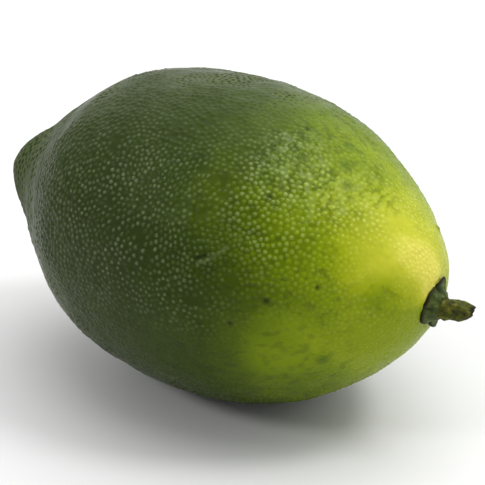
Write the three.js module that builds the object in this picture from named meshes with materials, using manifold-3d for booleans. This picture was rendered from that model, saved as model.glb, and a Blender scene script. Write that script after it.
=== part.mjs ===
// A lime as picked, lying on its side: the fruit, its star-shaped calyx and a short stub of stem.
// Millimetres, +Z up, +X from the nipple towards the stem. The origin is on the surface that the
// fruit rests on, under the middle of the bounding box.
import * as THREE from "three";
import { mergeVertices } from "three/addons/utils/BufferGeometryUtils.js";
import Module from "manifold-3d";

// Fruit
const FRUIT_RADIUS = 23;
const NIPPLE_REACH = 38.7; // widest round to the tip of the nipple
const STEM_REACH = 33.4; // widest round to the stem end
const NIPPLE_RISE = 0.6; // the nipple's tip lies this much above the fruit's axis
const CAP_SLOPE = 0.1; // the stem end faces a little downwards: millimetres along X for each of Z
const FOOT_DEPTH = 0.34; // depth pressed off the underside, which makes the flat spot

// Calyx, the fused green sepals
const CALYX_DROP = 0.3; // its centre lies this much under the fruit's axis
const CALYX_COLLAR_RADIUS = 1.7; // raised ring that the stem stands on
const CALYX_HEIGHT = 1.5; // collar's top above the stem end of the fruit
const CALYX_RIM_HEIGHT = 0.55;
const CALYX_NOTCH_REACH = 2.3; // centre to the notches between the lobes
const LOBE_REACHES = [3.9, 2.8, 3.4, 3.9, 3.8]; // centre to each lobe's tip
const FIRST_LOBE_ANGLE = THREE.MathUtils.degToRad(54.5); // from +Y towards +Z
const LOBE_SHARPNESS = 26; // the higher, the narrower each lobe
const LOBE_DROP_RADIUS = 11.4; // the lobes bend down over the fruit's end, as on a ball this size

// Stem
const STEM_LENGTH = 4.6;
const STEM_LEAN_ANGLE = THREE.MathUtils.degToRad(11); // side it leans to, from +Y towards +Z
const STEM_BASE_TILT = THREE.MathUtils.degToRad(14);
const STEM_END_TILT = THREE.MathUtils.degToRad(26);
const STEM_CUT_SLANT = 0.35; // rise of the cut end for each millimetre across it

const PIECE_GAP = 0.3; // clear space between neighbouring pieces
const AROUND_FRUIT = 56;
const ALONG_FRUIT = 36;
const AROUND_CALYX = 60;
const AROUND_STEM = 20;
const BLOCK_SIZE = 200; // blocks that only cut, larger than the fruit
const MERGE_DISTANCE = 1e-4;

// Half of the fruit's side outline, tip to stem end: share of the reach on that side of the
// widest round, then share of the fruit's radius.
const NIPPLE_SIDE = [
  [1, 0],
  [0.985, 0.115],
  [0.915, 0.24],
  [0.81, 0.37],
  [0.72, 0.51],
  [0.62, 0.675],
  [0.5, 0.825],
  [0.32, 0.94],
  [0.12, 0.994],
];
const STEM_SIDE = [
  [0.07, 0.998],
  [0.28, 0.953],
  [0.49, 0.84],
  [0.68, 0.67],
  [0.835, 0.48],
  [0.93, 0.325],
  [0.985, 0.165],
  [1, 0],
];

// Collar, shoulder and rim of the calyx in section: radius, height over the stem end. The lowest
// two points lie inside the fruit and are cut away.
const CALYX_REACH = 3;
const CALYX_SECTION = [
  [0, -2.5],
  [CALYX_REACH, -2.5],
  [CALYX_REACH, CALYX_RIM_HEIGHT * 0.6],
  [CALYX_REACH - 0.25, CALYX_RIM_HEIGHT],
  [CALYX_COLLAR_RADIUS + 0.35, 0.95],
  [CALYX_COLLAR_RADIUS, 1.25],
  [CALYX_COLLAR_RADIUS - 0.15, CALYX_HEIGHT],
  [0, CALYX_HEIGHT],
];

// Side of the stem: share of its length, radius. It swells past the middle.
const STEM_SECTION = [
  [0, 0],
  [0, 1.4],
  [0.2, 1.4],
  [0.4, 1.55],
  [0.62, 1.65],
  [0.85, 1.5],
  [0.97, 1.3],
  [1, 0.9],
  [1, 0],
];

const wasm = await Module();
wasm.setup();

// A solid of a closed geometry: shared corners are merged, and triangles with no area left out.
function toSolid(geometry) {
  const bare = geometry.clone();
  bare.deleteAttribute("normal");
  bare.deleteAttribute("uv");
  const merged = mergeVertices(bare, MERGE_DISTANCE);
  const index = merged.index.array;
  const corners = [];
  for (let i = 0; i < index.length; i += 3) {
    const [a, b, c] = index.slice(i, i + 3);
    if (a !== b && b !== c && c !== a) {
      corners.push(a, b, c);
    }
  }
  return new wasm.Manifold(new wasm.Mesh({
    numProp: 3,
    vertProperties: Float32Array.from(merged.attributes.position.array),
    triVerts: Uint32Array.from(corners),
  }));
}

function toGeometry(solid) {
  const cut = solid.getMesh();
  const geometry = new THREE.BufferGeometry();
  geometry.setAttribute("position", new THREE.BufferAttribute(cut.vertProperties, 3));
  geometry.setIndex(new THREE.BufferAttribute(cut.triVerts, 1));
  geometry.computeVertexNormals();
  return geometry;
}

// A turned shape about the X axis. Each profile point is a distance along X and a radius.
function turned(profile, around) {
  const points = profile.map(([along, radius]) => new THREE.Vector2(radius, along));
  return new THREE.LatheGeometry(points, around).rotateZ(-Math.PI / 2);
}

function moveVertices(geometry, move) {
  const position = geometry.attributes.position;
  const point = new THREE.Vector3();
  for (let i = 0; i < position.count; i += 1) {
    point.fromBufferAttribute(position, i);
    move(point);
    position.setXYZ(i, point.x, point.y, point.z);
  }
  return geometry;
}

// How far the fruit's section differs from a circle: a slight oval, and three faint ridges.
function sectionShare(angle) {
  return 1 + 0.006 * Math.cos(2 * angle + 0.8) + 0.004 * Math.cos(3 * angle - 1.1);
}

function fruitGeometry() {
  const outline = [
    ...NIPPLE_SIDE.map(([share, radius]) => new THREE.Vector2(-share * NIPPLE_REACH, radius)),
    ...STEM_SIDE.map(([share, radius]) => new THREE.Vector2(share * STEM_REACH, radius)),
  ];
  for (const point of outline) {
    point.y *= FRUIT_RADIUS;
  }
  const smooth = new THREE.SplineCurve(outline).getSpacedPoints(ALONG_FRUIT);
  smooth[0].y = 0;
  smooth[ALONG_FRUIT].y = 0;
  const peel = turned(smooth.map((point) => [point.x, point.y]), AROUND_FRUIT);
  return moveVertices(peel, (point) => {
    const share = sectionShare(Math.atan2(point.z, point.y));
    point.y *= share;
    point.z *= share;
    if (point.x < 0) {
      point.z += NIPPLE_RISE * (point.x / NIPPLE_REACH) ** 2;
    } else {
      point.x += CAP_SLOPE * point.z * (point.x / STEM_REACH) ** 4;
    }
  });
}

// The peel with the flat spot that the fruit rests on cut off its underside.
function restingFruit(peel) {
  peel.computeBoundingBox();
  const floor = peel.boundingBox.min.z + FOOT_DEPTH;
  const block = new THREE.BoxGeometry(BLOCK_SIZE, BLOCK_SIZE, BLOCK_SIZE);
  block.translate(0, 0, floor - BLOCK_SIZE / 2);
  return toSolid(peel).subtract(toSolid(block));
}

// Sets a shape made round the X axis on the stem end, square to the way that end faces.
function seatOnStemEnd(geometry) {
  geometry.rotateY(Math.atan(CAP_SLOPE));
  return geometry.translate(STEM_REACH, 0, -CALYX_DROP);
}

function calyxReach(angle) {
  let reach = CALYX_NOTCH_REACH;
  LOBE_REACHES.forEach((lobeReach, number) => {
    const middle = FIRST_LOBE_ANGLE + (number * 2 * Math.PI) / LOBE_REACHES.length;
    const closeness = Math.abs(Math.cos((angle - middle) / 2));
    reach += (lobeReach - CALYX_NOTCH_REACH) * closeness ** LOBE_SHARPNESS;
  });
  return reach;
}

function calyxGeometry(fruit) {
  const section = CALYX_SECTION.map(([radius, height]) => [height, radius]);
  const star = moveVertices(turned(section, AROUND_CALYX), (point) => {
    const angle = Math.atan2(point.z, point.y);
    const radius = Math.hypot(point.y, point.z);
    if (radius > CALYX_COLLAR_RADIUS) {
      const stretch = (calyxReach(angle) - CALYX_COLLAR_RADIUS) / (CALYX_REACH - CALYX_COLLAR_RADIUS);
      const reach = CALYX_COLLAR_RADIUS + (radius - CALYX_COLLAR_RADIUS) * stretch;
      point.y = reach * Math.cos(angle);
      point.z = reach * Math.sin(angle);
      point.x -= reach ** 2 / (2 * LOBE_DROP_RADIUS);
    }
  });
  return toGeometry(toSolid(seatOnStemEnd(star)).subtract(fruit.translate(PIECE_GAP, 0, 0)));
}

// The stem follows an arc that leans over from its base, and stands clear of the collar.
function stemGeometry() {
  const section = STEM_SECTION.map(([share, radius]) => [share * STEM_LENGTH, radius]);
  const arcRadius = STEM_LENGTH / (STEM_END_TILT - STEM_BASE_TILT);
  const lean = new THREE.Vector3(0, Math.cos(STEM_LEAN_ANGLE), Math.sin(STEM_LEAN_ANGLE));
  const forward = new THREE.Vector3(1, 0, 0);
  const side = new THREE.Vector3().crossVectors(forward, lean);
  const stub = moveVertices(turned(section, AROUND_STEM), (point) => {
    const acrossLean = point.dot(lean);
    const acrossSide = point.dot(side);
    const along = point.x + (STEM_CUT_SLANT * acrossLean * point.x) / STEM_LENGTH;
    const tilt = STEM_BASE_TILT + along / arcRadius;
    const ahead = arcRadius * (Math.sin(tilt) - Math.sin(STEM_BASE_TILT));
    const aside = arcRadius * (Math.cos(STEM_BASE_TILT) - Math.cos(tilt));
    point.set(0, 0, 0);
    point.addScaledVector(forward, ahead - acrossLean * Math.sin(tilt));
    point.addScaledVector(lean, aside + acrossLean * Math.cos(tilt));
    point.addScaledVector(side, acrossSide);
  });
  stub.translate(CALYX_HEIGHT - PIECE_GAP, 0, 0);
  const block = new THREE.BoxGeometry(BLOCK_SIZE, BLOCK_SIZE, BLOCK_SIZE);
  block.translate(CALYX_HEIGHT + PIECE_GAP - BLOCK_SIZE / 2, 0, 0);
  return toGeometry(toSolid(seatOnStemEnd(stub)).subtract(toSolid(seatOnStemEnd(block))));
}

function piece(name, geometry, color, roughness) {
  const material = new THREE.MeshStandardMaterial({ color, roughness, metalness: 0 });
  const mesh = new THREE.Mesh(geometry, material);
  mesh.name = name;
  return mesh;
}

const fruit = restingFruit(fruitGeometry());
const lime = new THREE.Group();
lime.add(
  piece("lime_fruit", toGeometry(fruit), 0x5f7a1e, 0.45),
  piece("calyx", calyxGeometry(fruit), 0x4a5a1c, 0.7),
  piece("stem", stemGeometry(), 0x55531a, 0.8),
);

// Puts the origin on the resting surface, under the middle of the bounding box.
const bounds = new THREE.Box3().setFromObject(lime);
const middle = bounds.getCenter(new THREE.Vector3());
lime.position.set(-middle.x, -middle.y, -bounds.min.z);

export default lime;
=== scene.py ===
"""A lime lying on its side: pebbled peel, star-shaped calyx and a short knobbly stub of stem."""
import math

import bpy
import numpy as np
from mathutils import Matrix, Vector, noise
from mathutils.kdtree import KDTree


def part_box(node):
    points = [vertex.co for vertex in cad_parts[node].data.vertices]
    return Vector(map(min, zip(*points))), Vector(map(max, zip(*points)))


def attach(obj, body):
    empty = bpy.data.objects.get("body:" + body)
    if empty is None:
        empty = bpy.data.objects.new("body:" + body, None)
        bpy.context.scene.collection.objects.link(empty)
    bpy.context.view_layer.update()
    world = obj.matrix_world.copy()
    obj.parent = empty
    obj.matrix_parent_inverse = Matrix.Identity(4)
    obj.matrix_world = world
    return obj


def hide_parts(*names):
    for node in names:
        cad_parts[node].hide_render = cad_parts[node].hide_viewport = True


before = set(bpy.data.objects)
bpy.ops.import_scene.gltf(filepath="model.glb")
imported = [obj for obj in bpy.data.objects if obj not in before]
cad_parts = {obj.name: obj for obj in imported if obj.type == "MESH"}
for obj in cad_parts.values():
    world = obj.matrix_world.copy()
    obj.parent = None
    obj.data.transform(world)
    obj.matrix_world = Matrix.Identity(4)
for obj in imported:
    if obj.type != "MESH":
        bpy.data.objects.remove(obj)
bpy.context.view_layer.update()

MM = 0.001
SEED = 7

# Fruit, close to the CAD solid, in millimetres
FRUIT_RADIUS = 23.0
NIPPLE_REACH = 38.7  # widest round to the tip of the nipple
STEM_REACH = 33.4  # widest round to the stem end
NIPPLE_RISE = 0.75  # the nipple's tip lies this much above the fruit's axis
CAP_SLOPE = 0.1  # the stem end leans back by this much for each millimetre up
FOOT_DEPTH = 0.34  # how much of the fruit's underside is pressed flat
OUTLINE_STEPS = 40  # places between each two points of the outline
NIPPLE_SIDE = [  # share of the nipple's reach, share of the radius
    (0.991, 0),
    (0.977, 0.115),
    (0.91, 0.242),
    (0.81, 0.378),
    (0.72, 0.52),
    (0.62, 0.675),
    (0.5, 0.825),
    (0.32, 0.94),
    (0.12, 0.994),
]
STEM_SIDE = [  # share of the stem's reach, share of the radius
    (0.07, 0.998),
    (0.28, 0.953),
    (0.49, 0.84),
    (0.68, 0.67),
    (0.835, 0.48),
    (0.93, 0.325),
    (0.985, 0.165),
    (1, 0),
]

# Peel
FACE_CELLS = 128  # cells along each side of the six faces that the peel's mesh is made of
CHART_MARGIN = 0.006  # empty edge round each face's map, as a share of its side
GLAND_COUNT = 11600
GLAND_PITCH = 0.83  # spacing of the oil glands
GLAND_HEIGHT = 0.2
GLAND_SIZES = (0.35, 1.2)  # smallest and biggest, as shares of the common height
RELAX_ROUNDS = 5
RELAX_NEIGHBOURS = 8
RELAX_REACH = 1.25  # neighbours this many spacings away stop pushing
RELAX_PUSH = 0.45
NIPPLE_STRETCH = 0.1  # the glands are drawn out along the nipple, from this far along it
STRETCH_START = -20
PALE_TIP_AND_HIGHLIGHT_PATCHES = [  # where the glands have pale tips, partly paler glands and partly painted highlight: along, degrees round it, reach
    (-7, 152, 13),
    (2, 165, 9),
    (3, 138, 7),
    (17, 141, 6),
    (14, 122, 9),
    (27, 110, 9),
    (-4, 20, 12),
    (16, 300, 12),
    (-14, 265, 10),
]
PITTED_PATCHES = [  # where the glands are sunk instead, darkened with painted shade, in a paler net that is partly painted sheen: along, degrees, reach
    (-23, 100, 8),
    (-30, 140, 8),
    (-6, 75, 9),
    (9, 70, 9),
    (-20, 203, 6),
    (-4, 232, 6),
    (-12, 345, 15),
    (10, 0, 9),
]
BARE_PATCHES = [  # where the peel is nearly smooth: along, degrees, reach
    (28.2, 137, 4.5),
    (28.0, 97, 2.6),
    (24.5, 92, 2.4),
    (18, 200, 8),
    (2, 205, 8),
]
MILKY_PATCHES = [  # where the pale tips run together into streaks, partly painted highlight: along, degrees, reach
    (14, 108, 5),
    (20, 113, 5),
    (23.5, 93, 4),
]
RIPENESS_PATCHES = [  # along, degrees, reach, how much riper
    (20, 190, 6, 0.05),
    (31, 205, 6, 0.05),
    (5, 140, 5, 0.04),
    (31, 161, 4.5, -0.07),
    (22, 88, 4, -0.03),
    (12, 104, 7, -0.03),
    (22, 225, 5, -0.03),
]
PITTED_NIPPLE = (-20, -28)  # along: no more than elsewhere, wholly pitted
PITS_FADE = (3, 14)  # along: wholly there, nearly gone
PITS_LOST = 0.8  # share of the pits that is gone by then
LEAST_PALE = 0.2  # outside the patches
LEAST_PITTED = 0.15
SUNK_SHARE = 0.7  # depth of the deepest pits, as a share of a gland's height
FLATTENED_SHARE = 0.8  # how much of the glands' height is gone where the peel is bare
SWELLS = [(9.0, 0.16), (2.4, 0.1), (0.9, 0.03)]  # unevenness under the glands: span, height

# Marks on the peel: (along the fruit, degrees round it from +Y towards +Z)
PITS = [(12.5, 91), (14.6, 128), (23.3, 158), (18.0, 168), (13.7, 180), (2.0, 35), (-12.0, 250)]
PIT_RADIUS = 0.34
PIT_DEPTH = 0.1
BLOTCHES = [(19.3, 95), (21.1, 104), (24.0, 204), (17.5, 84), (8.0, 20), (22.0, 300)]
BLOTCH_RADIUS = 1.0
SCAR_START = (8.6, 159.5)
SCAR_END = (11.9, 151.0)
SCAR_WIDTH = 0.2
SCAR_HEIGHT = 0.06
SCAR_BOW = 0.35
SLIT_ASIDE = 0.75  # a dark slit beside the scar's first half
SLIT_DEPTH = 0.12
SPECK = (29.0, 47)
SPECK_RADIUS = 0.5
SPECK_HEIGHT = 0.35

# Calyx and stem
CALYX_DROP = 0.3  # its middle lies this much under the fruit's axis
CALYX_HEIGHT = 1.5
CALYX_AROUND = 200
CALYX_STEPS = 26
COLLAR_RADIUS = 1.75
COLLAR_FLARE = 0.4  # the collar's side is halfway down this far outside its radius
COLLAR_SOFTNESS = 0.24
LOBES = [  # degrees from +Y towards +Z, reach, how far the tip lifts off, how far its sides curl up
    (61, 4.05, 0.5, 0.3),
    (124, 3.0, 0.1, 0.0),
    (212, 3.4, 0.15, 0.05),
    (282, 4.1, 0.7, 0.1),
    (354, 3.9, 0.3, 0.1),
]
NOTCH_REACHES = [3.0, 3.0, 2.4, 2.2, 2.2]  # the notch after each lobe
LOBE_DROP_RADIUS = 11.4  # of the round that the lobes follow down the stem end
LOBE_THICKNESS = 0.45
LOBE_UNDERSIDE = 0.05  # below the fruit's own surface
LOBE_WAVER = 0.16  # of its edge
TIP_START = 0.55  # share of the lobe's reach where its tip starts to lift off
CREASE_DEPTH = 0.42
WRINKLE_HEIGHT = 0.16
LUMP_HEIGHT = 0.14
STEM_LENGTH = 4.25
STEM_LEAN_DEGREES = 11
STEM_BASE_TILT_DEGREES = 14
STEM_END_TILT_DEGREES = 26
STEM_CUT_SLANTS = (0.2, 0.4)  # how the cut end leans, towards the stem's lean and upwards
STEM_AROUND = 64
STEM_STEPS = 54
STEM_SUNK = 1.4  # length of stem hidden inside the collar
STUB_SIDE = [  # share of its length, radius
    (0.0, 1.42),
    (0.2, 1.36),
    (0.42, 1.42),
    (0.6, 1.42),
    (0.76, 1.28),
    (0.9, 1.02),
    (1.0, 0.7),
]
BARK_RIDGES = [(9, 0.9, 0.035), (14, -1.3, 0.03)]  # how many round, turn in a millimetre, height
KNOB_ALONG = 0.5
KNOB_ANGLE = 4.35  # radians
KNOB_LENGTH = 0.45
KNOB_WIDTH = 0.3  # radians
KNOB_HEIGHT = 0.34
END_RAGGED = 0.3
END_HOLLOW = 0.25
CUT_SHARES = (0.8, 0.5, 0.2)  # rings on the cut end, as shares of its radius

# Colours of the peel
SKIN_STOPS = [  # ripeness, colour
    (0.1, "#2f3d18"),
    (0.45, "#313e17"),
    (0.56, "#30400a"),
    (0.61, "#354608"),
    (0.67, "#485a04"),
    (0.72, "#5f7402"),
    (0.8, "#7c9008"),
    (0.845, "#96a414"),
    (0.91, "#babd32"),
    (0.94, "#d6d056"),
]
STEM_RIPENESS = 0.9  # at the stem end, from 0 at the nipple, before anything is added
FAR_RIPENESS = 0.72  # what the far side tends to
# Pale gland tips: partly the glands' own paler colour, partly painted highlight
RIPE_TIP_AND_HIGHLIGHT = "#8a9254"
UNRIPE_TIP_AND_HIGHLIGHT = "#7c866c"
# Painted shade for the valleys between the glands
VALLEY_PAINTED_SHADE = "#2f4a08"
MILKY_SHADE = "#567614"
# Pale net between sunk glands, partly painted sheen, and painted shade for the pits
NET_PAINTED_SHEEN = "#586236"
PIT_PAINTED_SHADE = "#64745a"
MOTTLE_COLOUR = "#2c4007"
DASH_COLOUR = "#262f12"
BLOTCH_COLOUR = "#33500a"
PALE_MARK_COLOUR = "#76825a"
DARK_MARK_COLOUR = "#14150a"

# Grain of the peel, in lumps to the metre
PATCH_GRAIN = 55
STREAK_GRAIN = 260
TIP_GRAIN = 330
MOTTLE_GRAIN = 480
WORN_GRAIN = 700
DASH_GRAIN = 900
LINE_GRAIN = 1100
PORE_GRAIN = 2600

# Calyx and bark, with grain in lumps to the metre
CALYX_GRAIN = 900
CALYX_FUZZ_GRAIN = 4000
BARK_GRAIN = 1100
BARK_FUZZ_GRAIN = 3600
CALYX_STOPS = [(0.3, "#2a340f"), (0.5, "#435022"), (0.7, "#6f7b40")]
CALYX_EDGE = "#1c1504"
# Painted shade for the creases between the calyx's lobes
CALYX_CREASE_SHADE = "#1b210a"
BARK_STOPS = [(0.3, "#25280a"), (0.46, "#3c420c"), (0.58, "#545310"), (0.75, "#77753a")]
BARK_CUT = "#16160a"
BARK_KNOB = "#1a2006"
DRY_GLOSS = 0.16

# Stage
FLOOR_SIZE = 4  # metres
FLOOR_GREY = 0.74
FLOOR_GAP = 0.00005  # the floor lies this far under the fruit, in metres
TENT_DIM = 0.31  # strength of the dim side
TENT_GLOW = 0.97  # how much stronger the pale side is
LIGHTS = [  # name, azimuth, elevation, distance and size in metres, radiance
    ("overhead", 170, 75, 0.9, 1.2, 1.3),
    ("front_left", -30, 38, 0.8, 0.2, 14.0),
    ("right", 118, 60, 0.8, 0.2, 16.0),
]

# View, in degrees and millimetres
VIEW_AZIMUTH = 34.7
VIEW_ELEVATION = 28.5
VIEW_DISTANCE = 402.5
VIEW_LENS = 210.5
VIEW_RIGHT = 1.26  # the view's middle lies this far to the right of the fruit's
VIEW_DOWN = 0.9


def srgb(code):
    """Linear colour of a #rrggbb code."""
    shares = [int(code[i : i + 2], 16) / 255 for i in (1, 3, 5)]
    linear = [c / 12.92 if c <= 0.04045 else ((c + 0.055) / 1.055) ** 2.4 for c in shares]
    return (*linear, 1.0)


def smooth_step(value, low, high):
    """The value's share of the way from low to high, held between 0 and 1 and eased."""
    t = np.clip((value - low) / (high - low), 0, 1)
    return t * t * (3 - 2 * t)


def new_piece(name, places, faces, material, node):
    """A mesh object of places in metres, which rides on the root and stands for a CAD node."""
    mesh = bpy.data.meshes.new(name)
    mesh.from_pydata(places, [], faces)
    mesh.update()
    mesh.shade_smooth()
    mesh.materials.append(material)
    piece = bpy.data.objects.new(name, mesh)
    bpy.context.scene.collection.objects.link(piece)
    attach(piece, "root")
    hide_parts(node)
    return piece


def store(mesh, name, values, domain="POINT"):
    """Keeps a number or a vector per vertex, face or face corner, for the material to read."""
    values = np.asarray(values, np.float32)
    if values.ndim == 1:
        layer = mesh.attributes.new(name, "FLOAT", domain)
        layer.data.foreach_set("value", values)
    else:
        layer = mesh.attributes.new(name, "FLOAT_VECTOR", domain)
        layer.data.foreach_set("vector", values.ravel())


# Shape of the fruit, in millimetres from the middle of its widest round


def catmull_rom(points, steps):
    """A smooth curve through points, with steps places between each two."""
    padded = np.vstack([points[0], points, points[-1]])
    t = np.linspace(0, 1, steps, endpoint=False)[:, None]
    runs = []
    for a, b, c, d in zip(padded, padded[1:], padded[2:], padded[3:]):
        pull = (2 * a - 5 * b + 4 * c - d) * t**2 + (3 * b - a - 3 * c + d) * t**3
        runs.append(0.5 * (2 * b + (c - a) * t + pull))
    return np.vstack([*runs, points[-1:]])


def side_outline():
    """Each place's share of the way from the nipple, and how far along and how wide the fruit is."""
    nipple = [(-share * NIPPLE_REACH, radius * FRUIT_RADIUS) for share, radius in NIPPLE_SIDE]
    stem = [(share * STEM_REACH, radius * FRUIT_RADIUS) for share, radius in STEM_SIDE]
    curve = catmull_rom(np.array(nipple + stem), OUTLINE_STEPS)
    lengths = np.linalg.norm(np.diff(curve, axis=0), axis=1)
    way = np.concatenate([[0], np.cumsum(lengths)])
    return way / way[-1], curve[:, 0], curve[:, 1]


WAY, SIDE_ALONG, SIDE_RADIUS = side_outline()


def fruit_places(way, angle):
    """Places on the smooth fruit: way is 0 at the nipple's tip and 1 at the stem end."""
    along = np.interp(way, WAY, SIDE_ALONG)
    oval = 1 + 0.006 * np.cos(2 * angle + 0.8) + 0.004 * np.cos(3 * angle - 1.1)
    radius = np.interp(way, WAY, SIDE_RADIUS) * oval
    y = radius * np.cos(angle)
    z = radius * np.sin(angle)
    x = along + CAP_SLOPE * z * (np.maximum(along, 0) / STEM_REACH) ** 4
    z = z + NIPPLE_RISE * (np.minimum(along, 0) / NIPPLE_REACH) ** 2
    return np.stack([x, y, z], axis=-1)


def way_of(along):
    """The share of the way from the nipple's tip at which the fruit's side lies that far along."""
    return float(np.interp(along, SIDE_ALONG, WAY))


def marked_place(mark):
    """Where a mark's (along, degrees round) lies on the smooth fruit."""
    along, degrees = mark
    return fruit_places(way_of(along), math.radians(degrees))


def floor_level():
    """Height of the resting surface under the fruit's axis."""
    way, angle = np.meshgrid(np.linspace(0, 1, 400), np.linspace(0, 2 * np.pi, 360))
    return fruit_places(way, angle)[..., 2].min() + FOOT_DEPTH


# Where the middle of the widest round lies in the frame, in millimetres
FRUIT_LOW, FRUIT_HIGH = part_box("lime_fruit")
MIDDLE = np.array(
    [FRUIT_LOW.x / MM + NIPPLE_REACH, (FRUIT_LOW.y + FRUIT_HIGH.y) / 2 / MM, -floor_level()]
)


def to_frame(places):
    """Places in the frame, in metres."""
    return (np.asarray(places) + MIDDLE) * MM


# Peel


def ball_faces():
    """Unit directions and four-sided faces of a cube blown up to a ball, and its faces' map cells."""
    steps = np.arange(FACE_CELLS + 1)
    u, v = np.meshgrid(steps, steps, indexing="ij")
    grids, charts = [], []
    for axis in range(3):
        for side in (0, FACE_CELLS):
            grid = np.empty((*u.shape, 3), int)
            grid[..., axis] = side
            first, second = (axis + 1) % 3, (axis + 2) % 3
            grid[..., first] = u if side else v
            grid[..., second] = v if side else u
            grids.append(grid.reshape(-1, 3))
            charts.append((axis, 1 if side else 0))
    places, index = np.unique(np.vstack(grids), axis=0, return_inverse=True)
    index = index.reshape(6, FACE_CELLS + 1, FACE_CELLS + 1)
    bent = np.tan((2 * places / FACE_CELLS - 1) * np.pi / 4)
    directions = bent / np.linalg.norm(bent, axis=1, keepdims=True)
    corners = [index[:, :-1, :-1], index[:, 1:, :-1], index[:, 1:, 1:], index[:, :-1, 1:]]
    faces = np.stack(corners, axis=-1).reshape(-1, 4)
    return directions, faces, charts


def chart_places(charts):
    """Map places of every face corner: each side of the cube fills one cell of a 3 by 2 sheet."""
    steps = np.linspace(CHART_MARGIN, 1 - CHART_MARGIN, FACE_CELLS + 1)
    u, v = np.meshgrid(steps, steps, indexing="ij")
    sheets = []
    for column, row in charts:
        place = np.stack([(u + column) / 3, (v + row) / 2], axis=-1)
        corners = [place[:-1, :-1], place[1:, :-1], place[1:, 1:], place[:-1, 1:]]
        sheets.append(np.stack(corners, axis=2).reshape(-1, 2))
    return np.vstack(sheets)


def gland_space(places):
    """Places squeezed along the nipple, so that glands set evenly in them come out long there."""
    squeezed = places.copy()
    squeezed[:, 0] += NIPPLE_STRETCH * np.maximum(STRETCH_START - places[:, 0], 0)
    return squeezed


def gland_pitch(way):
    """The glands are wider apart on the nipple and closer at the stem end."""
    return GLAND_PITCH * (1 + 0.35 * smooth_step(way, 0.42, 0.14) - 0.15 * smooth_step(way, 0.7, 1))


def nearest(places, targets, count):
    """Distances and indices of the targets nearest to each place."""
    tree = KDTree(len(targets))
    for index, target in enumerate(targets):
        tree.insert(target, index)
    tree.balance()
    found = np.array([[(hit[1], hit[2]) for hit in tree.find_n(place, count)] for place in places])
    return found[..., 1], found[..., 0].astype(int)


def gland_centres(rng):
    """Way and angle of each oil gland, scattered and then pushed apart until evenly spread."""
    ways = np.linspace(0, 1, 2000)
    crowd = np.interp(ways, WAY, SIDE_RADIUS) / gland_pitch(ways) ** 2
    total = np.cumsum(crowd)
    way = np.interp(rng.random(GLAND_COUNT) * total[-1], total, ways)
    angle = rng.random(GLAND_COUNT) * 2 * np.pi
    for _ in range(RELAX_ROUNDS):
        places = fruit_places(way, angle)
        gap, other = nearest(gland_space(places), gland_space(places), RELAX_NEIGHBOURS)
        apart = places[:, None] - places[other]
        pitch = gland_pitch(way)[:, None]
        push = np.clip(1 - gap / (RELAX_REACH * pitch), 0, 1) / np.maximum(gap, 1e-6)
        step = RELAX_PUSH * (apart * push[..., None]).sum(axis=1) * pitch
        tip = 1e-4
        lengthwise = (fruit_places(way + tip, angle) - fruit_places(way - tip, angle)) / (2 * tip)
        crosswise = (fruit_places(way, angle + tip) - fruit_places(way, angle - tip)) / (2 * tip)
        way = way + (step * lengthwise).sum(1) / np.maximum((lengthwise**2).sum(1), 1e-6)
        angle = angle + (step * crosswise).sum(1) / np.maximum((crosswise**2).sum(1), 0.2)
        way = np.clip(np.abs(way), 0, 2 - way)
    return way, angle


def broad_noise(places, span, seed):
    """Smooth noise from -1 to 1 at each place, in lumps about span across."""
    shift = Vector((seed, 3.1 * seed, -1.7 * seed))
    return np.array([noise.noise(Vector(place / span) + shift) for place in places])


def gland_relief(places, centres):
    """Height of the glands' relief at each place, from 0 between glands to about 1 at a middle."""
    gap, gland = nearest(gland_space(places), gland_space(centres), 2)
    share = 2 * gap[:, 0] / np.maximum(gap.sum(axis=1), 1e-9)
    size = np.random.default_rng(SEED + 1).uniform(*GLAND_SIZES, len(centres))
    return (1 - share**2) ** 1.4 * size[gland[:, 0]]


def store_glands(mesh, places, centres, centre_ways, faces):
    """Keeps where each face's corners lie from its gland's middle, in gland spacings."""
    spread = gland_space(places)
    middles = gland_space(centres)
    _, gland = nearest(spread[faces].mean(axis=1), middles, 1)
    gland = gland[:, 0]
    offset = spread[faces] - middles[gland][:, None]
    offset /= gland_pitch(centre_ways)[gland][:, None, None]
    store(mesh, "gland_offset", offset.reshape(-1, 3), "CORNER")
    paleness = np.random.default_rng(SEED + 2).random(len(centres)) ** 0.8
    store(mesh, "gland_paleness", paleness[gland], "FACE")


def patchiness(places, patches, least):
    """From least up to 1 inside the patches, broken up a little everywhere."""
    shares = np.full(len(places), least)
    for along, degrees, reach in patches:
        gap = np.linalg.norm(places - marked_place((along, degrees)), axis=1)
        shares = np.maximum(shares, least + (1 - least) * np.exp(-((gap / reach) ** 3)))
    return shares * (0.55 + 0.45 * smooth_step(broad_noise(places, 5, 8), -0.4, 0.3))


def ripeness_shift(places):
    """How much riper than its neighbours each place is."""
    shift = np.zeros(len(places))
    for along, degrees, reach, change in RIPENESS_PATCHES:
        gap = np.linalg.norm(places - marked_place((along, degrees)), axis=1)
        shift += change * np.exp(-((gap / reach) ** 4))
    return shift


def near_mark(places, mark, radius):
    """1 at a mark, falling off to 0 over about its radius."""
    gap = np.linalg.norm(places - marked_place(mark), axis=1)
    return np.exp(-((gap / radius) ** 2))


def scar_and_slit(places):
    """How much each place is on the raised scar, and in the dark slit beside it."""
    start, end = marked_place(SCAR_START), marked_place(SCAR_END)
    run = end - start
    share = np.clip(((places - start) @ run) / (run @ run), 0, 1)
    aside = np.cross(run, (start + end) / 2)
    aside /= np.linalg.norm(aside)
    bow = SCAR_BOW * np.sin(np.pi * share)[:, None] * aside
    across = places - (start + share[:, None] * run + bow)
    scar = np.exp(-((np.linalg.norm(across, axis=1) / SCAR_WIDTH) ** 2))
    slit_gap = np.linalg.norm(across + SLIT_ASIDE * aside, axis=1)
    slit = np.exp(-((slit_gap / SCAR_WIDTH) ** 2)) * smooth_step(share, 0.6, 0.3)
    return scar, slit


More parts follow.
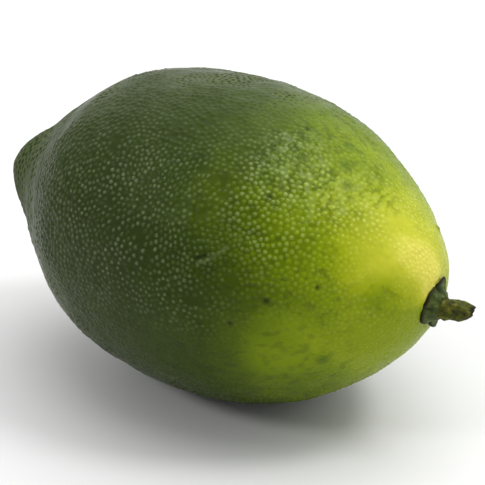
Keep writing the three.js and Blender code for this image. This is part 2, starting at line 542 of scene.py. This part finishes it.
def peel_marks(places):
    """Height of the pits, the scar and the speck, and how dark, pale or blotched each place is."""
    pits = [near_mark(places, mark, PIT_RADIUS) for mark in PITS]
    blotches = [near_mark(places, mark, BLOTCH_RADIUS) for mark in BLOTCHES]
    scar, slit = scar_and_slit(places)
    speck = near_mark(places, SPECK, SPECK_RADIUS)
    height = SCAR_HEIGHT * scar - SLIT_DEPTH * slit + SPECK_HEIGHT * speck - PIT_DEPTH * sum(pits)
    dark = np.max([*pits, 0.85 * slit, 0.7 * speck], axis=0)
    return height, dark, scar, np.max(blotches, axis=0)


def pitted_share(places):
    """How far the glands are sunk instead of raised: in the patches and, unevenly, on the nipple."""
    uneven = 0.35 + 0.65 * smooth_step(broad_noise(places, 6, 11), -0.35, 0.3)
    front = 0.55 + 0.45 * smooth_step(places[:, 1], 8, 0)
    nipple = smooth_step(places[:, 0], *PITTED_NIPPLE) * uneven * front
    pitted = np.maximum(patchiness(places, PITTED_PATCHES, LEAST_PITTED), nipple)
    return pitted * (1 - PITS_LOST * smooth_step(places[:, 0], *PITS_FADE))


def outward(places, faces):
    """Unit normals of the smooth fruit at its places."""
    mesh = bpy.data.meshes.new("smooth")
    mesh.from_pydata(places, [], faces)
    mesh.update()
    normals = np.empty(len(places) * 3, np.float32)
    mesh.vertex_normals.foreach_get("vector", normals)
    bpy.data.meshes.remove(mesh)
    return normals.reshape(-1, 3)


def peel_height(places, way, relief, scar):
    """How far the glands and the broad swells lift each place off the smooth fruit."""
    calm = 0.7 + 0.3 * smooth_step(broad_noise(places, 12, 2), -0.35, 0.25)
    ends = 1 - 0.35 * smooth_step(way, 0.2, 0.03) - 0.6 * smooth_step(way, 0.72, 0.92)
    height = GLAND_HEIGHT * relief * calm * ends * (1 - scar)
    for span, rise in SWELLS:
        height += rise * broad_noise(places, span, 5)
    return height


def make_peel(material):
    rng = np.random.default_rng(SEED)
    directions, faces, charts = ball_faces()
    way = np.arccos(np.clip(-directions[:, 0], -1, 1)) / np.pi
    angle = np.arctan2(directions[:, 2], directions[:, 1])
    smooth = fruit_places(way, angle)
    centre_ways, centre_angles = gland_centres(rng)
    centres = fruit_places(centre_ways, centre_angles)
    pitted = pitted_share(smooth)
    bare = patchiness(smooth, BARE_PATCHES, 0)
    relief = gland_relief(smooth, centres)
    sinking = (1 + SUNK_SHARE) * smooth_step(pitted, 0.2, 0.8)
    relief = relief * (1 - sinking) * (1 - FLATTENED_SHARE * bare)
    mark_height, dark, scar, blotch = peel_marks(smooth)
    height = peel_height(smooth, way, relief, scar) + mark_height
    framed = to_frame(smooth + outward(smooth, faces) * height[:, None])
    framed[:, 2] = np.maximum(framed[:, 2], 0)
    mesh = new_piece("peel", framed, faces.tolist(), material, "lime_fruit").data
    store_glands(mesh, smooth, centres, centre_ways, faces)
    # pale tips, partly painted highlight, fewer where the glands are sunk or the peel is bare
    pale_tips_and_highlights = patchiness(smooth, PALE_TIP_AND_HIGHLIGHT_PATCHES, LEAST_PALE)
    store(mesh, "pale_tips_and_highlights", pale_tips_and_highlights * (1 - 0.8 * pitted) * (1 - bare))
    store(mesh, "bare", bare)
    store(mesh, "ripeness_shift", ripeness_shift(smooth))
    store(mesh, "milky", patchiness(smooth, MILKY_PATCHES, 0))
    store(mesh, "pitted", pitted)
    store(mesh, "dark_mark", dark)
    store(mesh, "pale_mark", scar)
    store(mesh, "blotch", blotch)
    chart = mesh.uv_layers.new(name="OFBake")
    chart.data.foreach_set("uv", chart_places(charts).astype(np.float32).ravel())


# Materials


def new_material(name):
    material = bpy.data.materials.new(name)
    material.use_nodes = True
    tree = material.node_tree
    surface = tree.nodes["Principled BSDF"]
    return material, tree, surface


def add(tree, kind, inputs=None, **settings):
    """A node of that kind. Inputs are plain values, or sockets to join to."""
    node = tree.nodes.new("ShaderNode" + kind)
    for name, value in settings.items():
        setattr(node, name, value)
    for name, value in (inputs or {}).items():
        if isinstance(value, bpy.types.NodeSocket):
            tree.links.new(value, node.inputs[name])
        else:
            node.inputs[name].default_value = value
    return node


def number(tree, operation, *values):
    """The result of a Math node."""
    node = add(tree, "Math", dict(enumerate(values)), operation=operation)
    return node.outputs[0]


def times(tree, first, *others):
    """The product of numbers, of which the first is a socket."""
    for other in others:
        first = number(tree, "MULTIPLY", first, other)
    return first


def scaled(tree, value, factor, offset):
    """The value times the factor, plus the offset."""
    return number(tree, "MULTIPLY_ADD", value, factor, offset)


def vector(tree, operation, *values):
    """The result of a Vector Math node."""
    node = add(tree, "VectorMath", dict(enumerate(values)), operation=operation)
    return node.outputs[0]


def ramp(tree, factor, stops):
    """Colours by factor. Stops are (place, #rrggbb)."""
    node = add(tree, "ValToRGB", {"Fac": factor})
    band = node.color_ramp
    while len(band.elements) < len(stops):
        band.elements.new(0.5)
    for element, (place, code) in zip(band.elements, stops):
        element.position = place
        element.color = srgb(code)
    return node.outputs["Color"]


def grade(tree, factor, low, high):
    """The factor's share of the way from low to high, held between 0 and 1."""
    inputs = {"Value": factor, "From Min": low, "From Max": high}
    return add(tree, "MapRange", inputs, interpolation_type="SMOOTHSTEP").outputs["Result"]


def mix(tree, factor, first, second, blend="MIX"):
    """The second colour laid over the first. Colours are sockets or #rrggbb codes."""
    node = add(tree, "Mix", {"Factor": factor}, data_type="RGBA", blend_type=blend)
    for socket, value in ((node.inputs[6], first), (node.inputs[7], second)):
        if isinstance(value, str):
            socket.default_value = srgb(value)
        else:
            tree.links.new(value, socket)
    return node.outputs[2]


def grain(tree, where, scale, detail=3.0, roughness=0.55):
    """Noise about 0.5 at that many lumps to the metre."""
    inputs = {"Vector": where, "Scale": scale, "Detail": detail, "Roughness": roughness}
    return add(tree, "TexNoise", inputs).outputs["Fac"]


def stored(tree, name, output="Fac"):
    """What store() kept under that name."""
    return add(tree, "Attribute", attribute_name=name).outputs[output]


def bump(tree, surface, height, strength, distance):
    node = add(tree, "Bump", {"Height": height, "Strength": strength, "Distance": distance})
    tree.links.new(node.outputs["Normal"], surface.inputs["Normal"])


def peel_ripeness(tree, where):
    """Ripeness, rising from the nipple to the stem end, the most that shows, and the way along."""
    from_middle = vector(tree, "SUBTRACT", where, tuple(to_frame([0, 0, 0])))
    around = vector(tree, "NORMALIZE", vector(tree, "MULTIPLY", from_middle, (0, 1, 1)))
    facing = add(tree, "SeparateXYZ", {"Vector": around}).outputs
    ahead = add(tree, "SeparateXYZ", {"Vector": from_middle}).outputs["X"]
    along = number(tree, "ADD", ahead, NIPPLE_REACH * MM)
    patches = number(tree, "SUBTRACT", grain(tree, where, PATCH_GRAIN, 2.0), 0.5)
    streaks = number(tree, "SUBTRACT", grain(tree, where, STREAK_GRAIN, 4.0, 0.65), 0.5)
    ripe = number(tree, "DIVIDE", along, (NIPPLE_REACH + STEM_REACH) * MM / STEM_RIPENESS)
    # Riper, so lighter and yellower, where the peel faces up
    ripe = scaled(tree, grade(tree, facing["Z"], 0.1, 1.0), 0.08, ripe)
    ripe = scaled(tree, patches, 0.12, ripe)
    ripe = scaled(tree, streaks, 0.07, ripe)
    ripe = number(tree, "ADD", ripe, stored(tree, "ripeness_shift"))
    far = times(tree, grade(tree, facing["Y"], -0.1, 0.7), 0.22)
    evener = number(tree, "MULTIPLY", far, number(tree, "SUBTRACT", FAR_RIPENESS, ripe))
    ripe = number(tree, "ADD", ripe, evener)
    # Lighter and yellower towards the top: the most ripeness that shows is lower where the peel faces
    # sideways or down
    ripest = scaled(tree, grade(tree, facing["Z"], 0.1, 0.75), 0.18, 0.82)
    return ripe, ripest, along


def gland_factors(tree):
    """How far a place is from its gland's middle, and how full, how low and how pitted it is."""
    offset = stored(tree, "gland_offset", "Vector")
    share = add(tree, "VectorMath", {0: offset}, operation="LENGTH").outputs["Value"]
    full = number(tree, "SUBTRACT", 1.0, stored(tree, "bare"))
    valley = times(tree, grade(tree, share, 0.3, 0.55), full)
    depth = scaled(tree, stored(tree, "gland_paleness"), -0.6, 1.0)
    pit = times(tree, grade(tree, share, 0.48, 0.12), stored(tree, "pitted"), depth)
    return share, full, valley, pit


def colour_tips_with_painted_light(tree, where, skin, unripe, share, valley):
    """Pale tips, partly paler glands and partly painted highlight, on a ground darkened by painted shade
    between the glands; they run together into streaks in the milky patches.
    """
    pale_tips_and_highlights = stored(tree, "pale_tips_and_highlights")
    # Painted shade: the valleys between the glands are darkened, more where the tips are pale
    low = times(tree, valley, scaled(tree, pale_tips_and_highlights, 0.32, 0.12), scaled(tree, unripe, 0.75, 0.25))
    skin = mix(tree, low, skin, VALLEY_PAINTED_SHADE, "MULTIPLY")
    # In the milky patches: pale streaks round the fruit, partly painted highlight, with darker lines
    # between
    drawn_round = vector(tree, "MULTIPLY", where, (1, 0.55, 0.55))
    lines = grain(tree, drawn_round, LINE_GRAIN, 2.0)
    milky = stored(tree, "milky")
    pale_highlight_lines = times(tree, grade(tree, lines, 0.47, 0.64), milky, 0.42)
    dark_lines = times(tree, grade(tree, lines, 0.5, 0.38), milky, 0.55)
    skin = mix(tree, dark_lines, skin, MILKY_SHADE, "MULTIPLY")
    # painted highlight, with some paler colour, on each gland's tip
    reach = scaled(tree, grain(tree, where, TIP_GRAIN, 1.0), 0.55, 0.16)
    tip = times(tree, grade(tree, share, reach, 0.08), stored(tree, "gland_paleness"), pale_tips_and_highlights)
    tip = times(tree, tip, scaled(tree, unripe, -0.3, 0.92))
    tip_and_highlight_tint = mix(tree, unripe, RIPE_TIP_AND_HIGHLIGHT, UNRIPE_TIP_AND_HIGHLIGHT)
    skin = mix(tree, tip, skin, tip_and_highlight_tint, "SCREEN")
    return mix(tree, pale_highlight_lines, skin, tip_and_highlight_tint, "SCREEN")


def colour_pits_with_painted_light(tree, skin, share, pit):
    """Pits darkened with painted shade, in a pale net that is partly paler peel and partly painted sheen.
    """
    # painted sheen, with some paler colour, on the net between the pits
    net_sheen = times(tree, grade(tree, share, 0.22, 0.5), stored(tree, "pitted"), 0.42)
    skin = mix(tree, net_sheen, skin, NET_PAINTED_SHEEN, "SCREEN")
    # painted shade darkens the pits
    return mix(tree, times(tree, pit, 0.95), skin, PIT_PAINTED_SHADE, "MULTIPLY")


def colour_marks(tree, where, skin, unripe):
    """Mottling, dashes along the fruit, blotches, the scar, the pits and the speck."""
    mottle = grade(tree, grain(tree, where, MOTTLE_GRAIN, 3.0), 0.58, 0.7)
    mottle = times(tree, mottle, scaled(tree, unripe, 0.25, 0.08))
    skin = mix(tree, mottle, skin, MOTTLE_COLOUR)
    drawn_out = vector(tree, "MULTIPLY", where, (0.3, 1, 1))
    dashes = grade(tree, grain(tree, drawn_out, DASH_GRAIN, 3.0), 0.52, 0.66)
    dashes = times(tree, dashes, scaled(tree, unripe, 0.26, 0.04))
    skin = mix(tree, dashes, skin, DASH_COLOUR)
    skin = mix(tree, times(tree, stored(tree, "blotch"), 0.6), skin, BLOTCH_COLOUR)
    skin = mix(tree, times(tree, stored(tree, "pale_mark"), 0.4), skin, PALE_MARK_COLOUR)
    return mix(tree, stored(tree, "dark_mark"), skin, DARK_MARK_COLOUR)


def polish_peel(tree, where, surface, along, valley, pit):
    """Roughness and gloss: duller towards the nipple, between glands and in the pits."""
    dull = grade(tree, along, 20 * MM, 4 * MM)
    rough = scaled(tree, grain(tree, where, WORN_GRAIN, 3.0), 0.2, 0.16)
    rough = scaled(tree, dull, 0.2, rough)
    rough = scaled(tree, valley, 0.12, rough)
    tree.links.new(rough, surface.inputs["Roughness"])
    gloss = times(tree, scaled(tree, dull, -0.055, 0.085), scaled(tree, pit, -0.8, 1.0))
    tree.links.new(gloss, surface.inputs["Specular IOR Level"])


def peel_material():
    material, tree, surface = new_material("peel_waxy")
    where = add(tree, "TexCoord").outputs["Object"]
    ripe, ripest, along = peel_ripeness(tree, where)
    unripe = grade(tree, ripe, 0.9, 0.75)
    share, full, valley, pit = gland_factors(tree)
    skin = ramp(tree, number(tree, "MINIMUM", ripe, ripest), SKIN_STOPS)
    skin = colour_tips_with_painted_light(tree, where, skin, unripe, share, valley)
    skin = colour_pits_with_painted_light(tree, skin, share, pit)
    skin = colour_marks(tree, where, skin, unripe)
    tree.links.new(skin, surface.inputs["Base Color"])
    polish_peel(tree, where, surface, along, valley, pit)

    outwards = scaled(tree, grade(tree, stored(tree, "pitted"), 0.2, 0.7), -2.2, 1.0)
    dome = times(tree, grade(tree, share, 0.5, 0.0), outwards, full)
    pores = scaled(tree, grain(tree, where, PORE_GRAIN, 2.0), 0.25, dome)
    bump(tree, surface, pores, 0.8, 0.07 * MM)
    return material


def calyx_material():
    material, tree, surface = new_material("calyx_sepals")
    where = add(tree, "TexCoord").outputs["Object"]
    blend = grain(tree, where, CALYX_GRAIN, 4.0)
    green = ramp(tree, blend, CALYX_STOPS)
    edge = grade(tree, scaled(tree, blend, 0.3, stored(tree, "rim")), 0.98, 1.16)
    green = mix(tree, edge, green, CALYX_EDGE)
    # Painted shade: the creases between the lobes are darkened
    green = mix(tree, times(tree, stored(tree, "crease"), 0.8), green, CALYX_CREASE_SHADE)
    tree.links.new(green, surface.inputs["Base Color"])
    tree.links.new(scaled(tree, blend, 0.3, 0.45), surface.inputs["Roughness"])
    surface.inputs["Specular IOR Level"].default_value = DRY_GLOSS
    bump(tree, surface, grain(tree, where, CALYX_FUZZ_GRAIN, 3.0), 0.5, 0.08 * MM)
    return material


def stem_material():
    material, tree, surface = new_material("stem_bark")
    where = add(tree, "TexCoord").outputs["Object"]
    blend = grain(tree, where, BARK_GRAIN, 4.0)
    bark = ramp(tree, blend, BARK_STOPS)
    bark = mix(tree, times(tree, stored(tree, "cut"), 0.85), bark, BARK_CUT)
    bark = mix(tree, times(tree, stored(tree, "knob"), 0.8), bark, BARK_KNOB)
    tree.links.new(bark, surface.inputs["Base Color"])
    tree.links.new(scaled(tree, blend, 0.3, 0.5), surface.inputs["Roughness"])
    surface.inputs["Specular IOR Level"].default_value = DRY_GLOSS
    bump(tree, surface, grain(tree, where, BARK_FUZZ_GRAIN, 4.0), 0.6, 0.1 * MM)
    return material


# Calyx and stem, made round the X axis and then set on the stem end


def seat(places):
    """Turns places to face the way the stem end does, and moves them there, in metres."""
    turn = math.atan(CAP_SLOPE)
    x, y, z = np.moveaxis(np.asarray(places), -1, 0)
    ahead = x * math.cos(turn) + z * math.sin(turn)
    up = z * math.cos(turn) - x * math.sin(turn)
    return to_frame(np.stack([ahead + STEM_REACH, y, up - CALYX_DROP], axis=-1))


def ring_faces(rings, around):
    """Faces between rings of vertices, whose first and last vertices are the two poles."""
    faces = []
    last = 1 + (rings - 1) * around
    end = 1 + rings * around
    for i in range(around):
        j = (i + 1) % around
        faces.append((0, 1 + j, 1 + i))
        faces.append((end, last + i, last + j))
        for ring in range(rings - 1):
            low = 1 + ring * around
            high = low + around
            faces.append((low + i, low + j, high + j, high + i))
    return faces


def lobe_at(angle):
    """The nearest lobe and the notch beside it, and how far from its middle the angle is, 0 to 1."""
    degrees = math.degrees(angle) % 360
    for lobe, following, notch in zip(LOBES, LOBES[1:] + LOBES[:1], NOTCH_REACHES):
        turn = (following[0] - lobe[0]) % 360
        share = ((degrees - lobe[0]) % 360) / turn
        if share <= 1:
            nearer = lobe if share < 0.5 else following
            return nearer, notch, 2 * min(share, 1 - share)


def calyx_thickness(spin, radius, share, crease):
    """Height of the calyx's upper face over its lower one, in the direction spin from its middle."""
    rounding = math.sqrt(max(0.0, 1 - share**8))
    collar = 1 / (1 + math.exp((radius - COLLAR_RADIUS - COLLAR_FLARE) / COLLAR_SOFTNESS))
    wrinkles = noise.noise(spin * 4.5 + Vector((0, 0, 0.5 * radius)))
    lumps = noise.noise(Vector((radius * spin.x, radius * spin.y, 0)) * 1.7)
    uneven = (WRINKLE_HEIGHT * wrinkles + LUMP_HEIGHT * lumps) * (1 - share**4)
    return LOBE_THICKNESS * rounding + (CALYX_HEIGHT - 0.5) * collar + uneven - CREASE_DEPTH * crease


def calyx_ring(share, under):
    """One ring of the calyx, and how near each place is to a crease."""
    ring, creases = [], []
    for i in range(CALYX_AROUND):
        angle = 2 * math.pi * i / CALYX_AROUND
        (_, reach, lift, curl), notch, off = lobe_at(angle)
        spin = Vector((math.cos(angle), math.sin(angle), 0))
        edge = notch + (reach - notch) * (1 - off**1.3) + LOBE_WAVER * noise.noise(spin * 3)
        radius = edge * share
        tip = max(0.0, radius / reach - TIP_START) / (1 - TIP_START)
        height = -(radius**2) / (2 * LOBE_DROP_RADIUS) + lift * tip**1.5 + 2 * curl * tip * off**2
        crease = off**5 * min(1.0, max(0.0, (radius - COLLAR_RADIUS) / COLLAR_FLARE))
        height += -LOBE_UNDERSIDE if under else calyx_thickness(spin, radius, share, crease)
        ring.append((height, radius * spin.x, radius * spin.y))
        creases.append(crease)
    return ring, creases


def make_calyx(material):
    shares = [((i + 1) / CALYX_STEPS) ** 0.8 for i in range(CALYX_STEPS)]
    places, rims, creases = [(CALYX_HEIGHT - 0.1, 0, 0)], [0.0], [0.0]
    for share, under in [(s, False) for s in shares] + [(s, True) for s in reversed(shares[:-1])]:
        ring, ring_creases = calyx_ring(share, under)
        places += ring
        rims += [share] * CALYX_AROUND
        creases += ring_creases
    places.append((-0.1, 0, 0))
    faces = ring_faces(2 * CALYX_STEPS - 1, CALYX_AROUND)
    mesh = new_piece("calyx_star", seat(places), faces, material, "calyx").data
    store(mesh, "rim", rims + [0.0])
    store(mesh, "crease", creases + [0.0])


def stem_place(along, across, sideways):
    """A place on the leaning stem: along its arc, across towards its lean, and sideways."""
    base = math.radians(STEM_BASE_TILT_DEGREES)
    arc = STEM_LENGTH / (math.radians(STEM_END_TILT_DEGREES) - base)
    lean = math.radians(STEM_LEAN_DEGREES)
    tilt = base + along / arc
    ahead = arc * (math.sin(tilt) - math.sin(base)) - across * math.sin(tilt)
    aside = arc * (math.cos(base) - math.cos(tilt)) + across * math.cos(tilt)
    y = aside * math.cos(lean) - sideways * math.sin(lean)
    z = aside * math.sin(lean) + sideways * math.cos(lean)
    return (CALYX_HEIGHT - 0.3 + ahead, y, z)


def cut_slant(across, sideways):
    """How far the slanting cut end lies ahead of its middle."""
    return STEM_CUT_SLANTS[0] * across + STEM_CUT_SLANTS[1] * sideways


def stem_ring(along, radius):
    """One ring of the stem's bark, and how near each place is to the cut end and to the knob."""
    ring, cuts, knobs = [], [], []
    late = max(0.0, along / STEM_LENGTH)
    for i in range(STEM_AROUND):
        angle = 2 * math.pi * i / STEM_AROUND
        spot = Vector((along * 0.7, 1.4 * math.cos(angle), 1.4 * math.sin(angle)))
        lumps = 0.1 * noise.noise(spot) + 0.06 * noise.noise(spot * 2.7)
        ridges = sum(rise * math.cos(count * angle + twist * along) for count, twist, rise in BARK_RIDGES)
        knob_gap = ((along - KNOB_ALONG) / KNOB_LENGTH) ** 2 + ((angle - KNOB_ANGLE) / KNOB_WIDTH) ** 2
        knob = math.exp(-knob_gap)
        r = radius * (1 + lumps) + ridges + KNOB_HEIGHT * knob
        across, sideways = r * math.cos(angle), r * math.sin(angle)
        ragged = END_RAGGED * late**8 * noise.noise(Vector((across, sideways, 4)) * 2.4)
        ahead = cut_slant(across, sideways) * late**2 + ragged
        ring.append(stem_place(along + ahead, across, sideways))
        cuts.append(float(smooth_step(late + 0.12 * noise.noise(spot * 2), 0.84, 0.97)))
        knobs.append(knob)
    return ring, cuts, knobs


def cut_ring(share):
    """One ring of the torn, slightly hollow end of the stem."""
    ring = []
    for i in range(STEM_AROUND):
        angle = 2 * math.pi * i / STEM_AROUND
        r = STUB_SIDE[-1][1] * share
        across, sideways = r * math.cos(angle), r * math.sin(angle)
        torn = 0.12 * noise.noise(Vector((across, sideways, 9)) * 2.5)
        ahead = cut_slant(across, sideways) - END_HOLLOW * (1 - share**2) - torn
        ring.append(stem_place(STEM_LENGTH + ahead, across, sideways))
    return ring


def make_stem(material):
    shares, radii = zip(*STUB_SIDE)
    places, cuts, knobs = [stem_place(-STEM_SUNK, 0, 0)], [0.0], [0.0]
    for along in np.linspace(-STEM_SUNK, STEM_LENGTH, STEM_STEPS):
        radius = np.interp(max(along, 0) / STEM_LENGTH, shares, radii)
        ring, ring_cuts, ring_knobs = stem_ring(along, radius)
        places += ring
        cuts += ring_cuts
        knobs += ring_knobs
    for share in CUT_SHARES:
        places += cut_ring(share)
    places.append(stem_place(STEM_LENGTH - END_HOLLOW, 0, 0))
    faces = ring_faces(STEM_STEPS + len(CUT_SHARES), STEM_AROUND)
    mesh = new_piece("stem_stub", seat(places), faces, material, "stem").data
    rest = len(places) - len(cuts)
    store(mesh, "cut", cuts + [0.9] * rest)
    store(mesh, "knob", knobs + [0.0] * rest)


# Stage, light and camera


def make_floor():
    bpy.ops.mesh.primitive_plane_add(size=FLOOR_SIZE, location=(0, 0, -FLOOR_GAP))
    floor = bpy.context.object
    floor.name = "floor"
    material, _, surface = new_material("floor_pale")
    surface.inputs["Base Color"].default_value = (FLOOR_GREY, FLOOR_GREY, FLOOR_GREY, 1)
    surface.inputs["Roughness"].default_value = 0.9
    surface.inputs["Specular IOR Level"].default_value = 0.0
    floor.data.materials.append(material)


def towards(azimuth, elevation):
    """Unit direction: azimuth is 0 at the front (-Y) and grows towards +X."""
    a, e = math.radians(azimuth), math.radians(elevation)
    return Vector((math.sin(a) * math.cos(e), -math.cos(a) * math.cos(e), math.sin(e)))


def make_softbox(name, direction, distance, size, radiance):
    """A round lamp that shines at the fruit from that direction, and isn't seen itself."""
    light = bpy.data.lights.new(name, "AREA")
    light.shape = "DISK"
    light.size = size
    light.energy = radiance * math.pi * math.pi * (size / 2) ** 2
    lamp = bpy.data.objects.new(name, light)
    lamp.location = direction * distance
    lamp.rotation_euler = direction.to_track_quat("Z", "Y").to_euler()
    lamp.visible_camera = False
    bpy.context.scene.collection.objects.link(lamp)


def make_world():
    """Surroundings like a light tent: pale above and behind, dimmer in front and to the sides."""
    world = bpy.data.worlds.new("tent")
    world.use_nodes = True
    tree = world.node_tree
    where = add(tree, "TexCoord").outputs["Generated"]
    brightest = tuple(towards(-170, 45))
    facing = add(tree, "VectorMath", {0: where, 1: brightest}, operation="DOT_PRODUCT").outputs["Value"]
    strength = scaled(tree, grade(tree, facing, 0.15, 0.9), TENT_GLOW, TENT_DIM)
    tree.links.new(strength, tree.nodes["Background"].inputs["Strength"])
    tree.nodes["Background"].inputs["Color"].default_value = (1, 1, 1, 1)
    bpy.context.scene.world = world


def make_lights():
    for name, azimuth, elevation, distance, size, radiance in LIGHTS:
        make_softbox(name, towards(azimuth, elevation), distance, size, radiance)


def make_camera():
    back = towards(VIEW_AZIMUTH, VIEW_ELEVATION)
    right = Vector((0, 0, 1)).cross(back).normalized()
    up = back.cross(right)
    data = bpy.data.cameras.new("camera")
    data.lens = VIEW_LENS
    data.clip_start = 0.01
    camera = bpy.data.objects.new("camera", data)
    aim = Vector(to_frame([0, 0, 0])) + (right * VIEW_RIGHT - up * VIEW_DOWN) * MM
    camera.location = aim + back * VIEW_DISTANCE * MM
    camera.rotation_euler = back.to_track_quat("Z", "Y").to_euler()
    bpy.context.scene.collection.objects.link(camera)
    bpy.context.scene.camera = camera


bpy.context.scene.view_settings.view_transform = "Standard"
make_camera()
make_floor()
make_world()
make_lights()
make_peel(peel_material())
make_calyx(calyx_material())
make_stem(stem_material())
